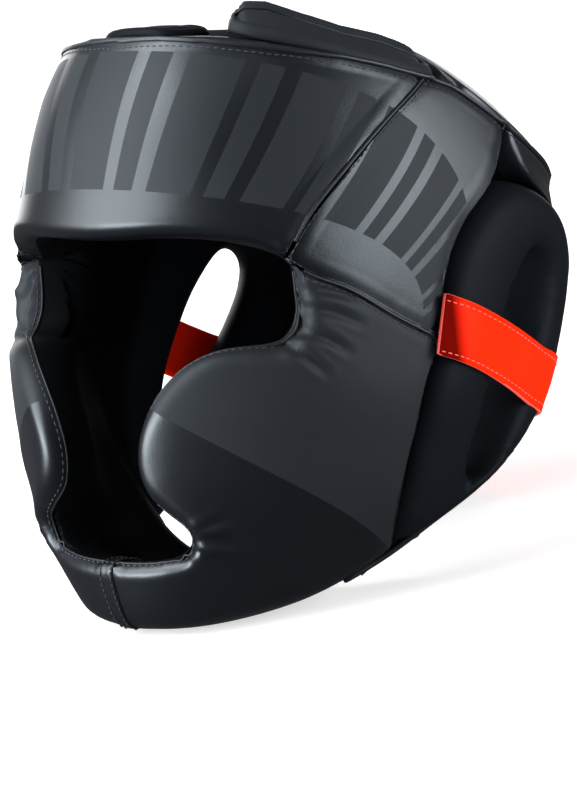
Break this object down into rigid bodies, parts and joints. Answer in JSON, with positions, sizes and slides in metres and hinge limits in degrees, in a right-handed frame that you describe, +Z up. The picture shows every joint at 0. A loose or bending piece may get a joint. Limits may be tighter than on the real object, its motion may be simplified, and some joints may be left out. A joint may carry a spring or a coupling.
{
  "type": "boxing headgear",
  "caption": "Full-face padded leather boxing headgear with cheek pads, chin bar, ear rings, crown flaps and orange side straps.",
  "frame": {"origin": "on the surface it rests on, under the middle of its bounding box", "axes": "+Z up, the face towards -Y, the wearer's left towards +X; the headgear stands tilted back on its chin bar and back rim"},
  "size_m": [0.2379, 0.2736, 0.2553],
  "materials": {
    "gloss_leather": "smooth glossy black coated leather",
    "matte_leather": "matte blue-black coated leather",
    "orange_leather": "glossy orange-red coated leather with stitched edges",
    "loop_patch": "black loop pile"
  },
  "bodies": {
    "root": {"forehead_pad": "gloss_leather", "temple_pad_left": "gloss_leather", "temple_pad_right": "gloss_leather", "face_guard_left": "gloss_leather", "face_guard_right": "gloss_leather", "back_pad": "gloss_leather", "ear_guard_left": "matte_leather", "ear_guard_right": "matte_leather", "crown_front": "gloss_leather", "crown_flap_left": "matte_leather", "crown_flap_right": "matte_leather", "crown_back": "gloss_leather", "side_strap_left": "orange_leather", "side_strap_right": "orange_leather", "closure_patch": "loop_patch", "rim_left": "gloss_leather", "rim_right": "gloss_leather"}
  },
  "joints": []
}
